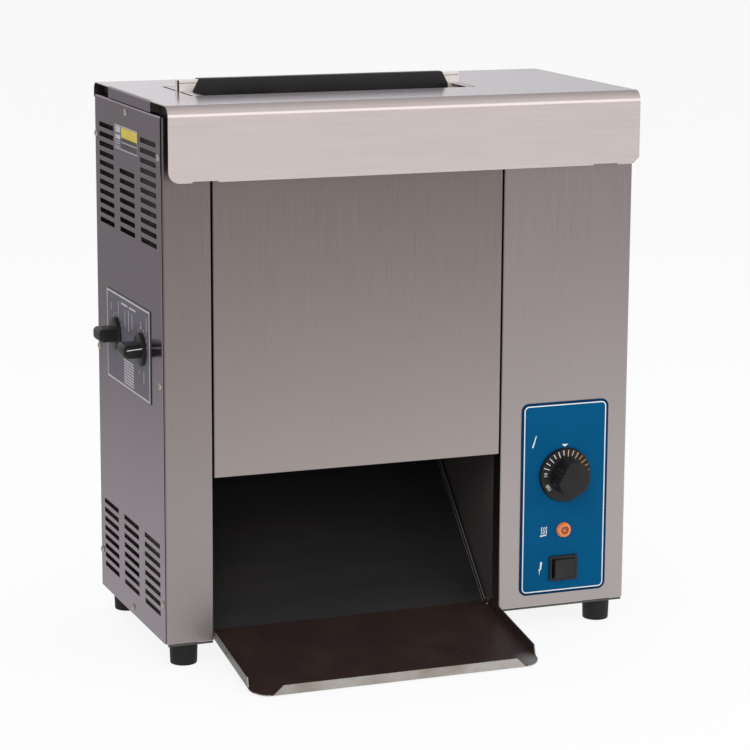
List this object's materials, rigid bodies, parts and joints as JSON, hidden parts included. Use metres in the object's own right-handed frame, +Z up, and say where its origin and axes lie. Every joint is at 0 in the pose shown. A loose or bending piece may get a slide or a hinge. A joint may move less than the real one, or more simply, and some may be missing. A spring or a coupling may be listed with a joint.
{
  "type": "vertical contact toaster",
  "caption": "Countertop vertical contact toaster: belts press bread halves on an upright hot plate; chute and tray below, dial and switch at the right, thickness knobs at the left side.",
  "frame": {"origin": "centre of the bounding box at the undersides of the feet", "axes": "+Z up, +X to the viewer's right from the front (control side), +Y to the back"},
  "size_m": [0.5998, 0.4306, 0.6548],
  "materials": {
    "amber_lens": "translucent orange lens",
    "belt_silicone": "brown-grey silicone-coated belting",
    "black_plastic": "black, fine satin",
    "bright_steel": "bright satin stainless steel",
    "brushed_steel": "vertical brushed stainless steel",
    "cast_aluminium": "cast, matt",
    "dark_coated_steel": "dark non-stick coating, semi-gloss",
    "foot_rubber": "black rubber",
    "galvanised_steel": "plain galvanised sheet",
    "heater_sheath": "heat-stained metal sheath",
    "label_grey": "printed grey plate",
    "machined_steel": "machined steel",
    "motor_paint": "dark grey paint",
    "panel_blue": "printed blue panel film",
    "release_cloth": "black coated glass cloth, smooth",
    "side_steel": "darker satin stainless steel"
  },
  "bodies": {
    "casing": {"base_pan": "galvanised_steel", "control_column": "brushed_steel", "control_label": "panel_blue", "cord_gland": "black_plastic", "discharge_chute": "dark_coated_steel", "drive_chain": "machined_steel", "fan_frame": "black_plastic", "front_belt": "belt_silicone", "front_cover": "brushed_steel", "front_cross_rail": "galvanised_steel", "front_heat_shield": "galvanised_steel", "front_left_bearing_bar": "machined_steel", "front_left_foot": "foot_rubber", "front_right_bearing_bar": "machined_steel", "front_right_foot": "foot_rubber", "gearmotor": "motor_paint", "heater_lamp": "amber_lens", "left_front_column": "brushed_steel", "left_inner_wall": "dark_coated_steel", "left_side_panel": "side_steel", "lower_heater_cartridge": "heater_sheath", "motor_bracket": "galvanised_steel", "platen": "cast_aluminium", "platen_cap": "bright_steel", "power_contactor": "black_plastic", "power_switch_body": "black_plastic", "rear_belt": "belt_silicone", "rear_cover": "side_steel", "rear_heat_shield": "galvanised_steel", "rear_left_bearing_bar": "machined_steel", "rear_left_foot": "foot_rubber", "rear_right_bearing_bar": "machined_steel", "rear_right_foot": "foot_rubber", "right_inner_wall": "dark_coated_steel", "right_side_panel": "side_steel", "tensioner_bracket": "galvanised_steel", "thermostat_body": "black_plastic", "thickness_label": "label_grey", "top_cover": "bright_steel", "upper_heater_cartridge": "heater_sheath"},
    "tray": {"bun_tray": "dark_coated_steel"},
    "release_sheet_body": {"release_sheet": "release_cloth"},
    "front_drive": {"front_drive_roller": "machined_steel", "front_sprocket": "machined_steel"},
    "rear_drive": {"rear_drive_roller": "machined_steel", "rear_sprocket": "machined_steel"},
    "front_idler": {"front_idler_roller": "machined_steel"},
    "rear_idler": {"rear_idler_roller": "machined_steel"},
    "front_plate": {"front_pressure_plate": "galvanised_steel"},
    "rear_plate": {"rear_pressure_plate": "galvanised_steel"},
    "front_adjuster": {"front_camshaft": "machined_steel", "front_thickness_knob": "black_plastic"},
    "rear_adjuster": {"rear_camshaft": "machined_steel", "rear_thickness_knob": "black_plastic"},
    "thermostat_dial": {"thermostat_knob": "black_plastic"},
    "power_rocker": {"power_switch_rocker": "black_plastic"},
    "motor_wheel": {"motor_sprocket": "machined_steel"},
    "tensioner_wheel": {"tensioner_sprocket": "machined_steel"},
    "fan": {"fan_rotor": "black_plastic"}
  },
  "joints": [
    {"name": "tray_slide", "type": "slide", "parent": "casing", "child": "tray", "axis": [0, -1, 0], "range_m": [0, 0.15]},
    {"name": "release_sheet_lift", "type": "slide", "parent": "casing", "child": "release_sheet_body", "axis": [0, 0, 1], "range_m": [0, 0.25]},
    {"name": "thermostat_turn", "type": "hinge", "parent": "casing", "child": "thermostat_dial", "pos_m": [0.2188, -0.07725, 0.1867], "axis": [0, -1, 0], "range_deg": [-270, 0]},
    {"name": "power_rocker_tilt", "type": "hinge", "parent": "casing", "child": "power_rocker", "pos_m": [0.2188, -0.07975, 0.0726], "axis": [0, 0, -1], "range_deg": [0, 12]},
    {"name": "front_thickness_turn", "type": "hinge", "parent": "casing", "child": "front_adjuster", "pos_m": [-0.04005, 0.00145, 0.35519], "axis": [1, 0, 0], "range_deg": [0, 150]},
    {"name": "rear_thickness_turn", "type": "hinge", "parent": "casing", "child": "rear_adjuster", "pos_m": [-0.04005, 0.10405, 0.35519], "axis": [-1, 0, 0], "range_deg": [0, 150]},
    {"name": "front_plate_slide", "type": "slide", "parent": "casing", "child": "front_plate", "axis": [0, -1, 0], "range_m": [0, 0.005]},
    {"name": "rear_plate_slide", "type": "slide", "parent": "casing", "child": "rear_plate", "axis": [0, 1, 0], "range_m": [0, 0.005]},
    {"name": "front_drive_spin", "type": "hinge", "parent": "casing", "child": "front_drive", "pos_m": [-0.04005, 0.00145, 0.2432], "axis": [-1, 0, 0], "continuous": true},
    {"name": "rear_drive_spin", "type": "hinge", "parent": "casing", "child": "rear_drive", "pos_m": [-0.04005, 0.10405, 0.2432], "axis": [1, 0, 0], "continuous": true},
    {"name": "front_idler_spin", "type": "hinge", "parent": "casing", "child": "front_idler", "pos_m": [-0.04005, 0.00145, 0.5882], "axis": [-1, 0, 0], "continuous": true},
    {"name": "rear_idler_spin", "type": "hinge", "parent": "casing", "child": "rear_idler", "pos_m": [-0.04005, 0.10405, 0.5882], "axis": [1, 0, 0], "continuous": true},
    {"name": "motor_spin", "type": "hinge", "parent": "casing", "child": "motor_wheel", "pos_m": [0.1508, 0.12775, 0.1432], "axis": [-1, 0, 0], "continuous": true},
    {"name": "tensioner_spin", "type": "hinge", "parent": "casing", "child": "tensioner_wheel", "pos_m": [0.1508, 0.13275, 0.3282], "axis": [-1, 0, 0], "continuous": true},
    {"name": "fan_spin", "type": "hinge", "parent": "casing", "child": "fan", "pos_m": [0.2216, 0.19175, 0.4482], "axis": [0, 1, 0], "continuous": true}
  ],
  "couplings": [
    {"joint": "front_thickness_turn", "follows": "front_plate_slide", "rad_per_m": 522.5},
    {"joint": "rear_thickness_turn", "follows": "rear_plate_slide", "rad_per_m": 522.5},
    {"joint": "rear_drive_spin", "follows": "front_drive_spin", "ratio": 1},
    {"joint": "front_idler_spin", "follows": "front_drive_spin", "ratio": 1},
    {"joint": "rear_idler_spin", "follows": "front_drive_spin", "ratio": 1},
    {"joint": "motor_spin", "follows": "front_drive_spin", "ratio": 1},
    {"joint": "tensioner_spin", "follows": "front_drive_spin", "ratio": 1}
  ]
}
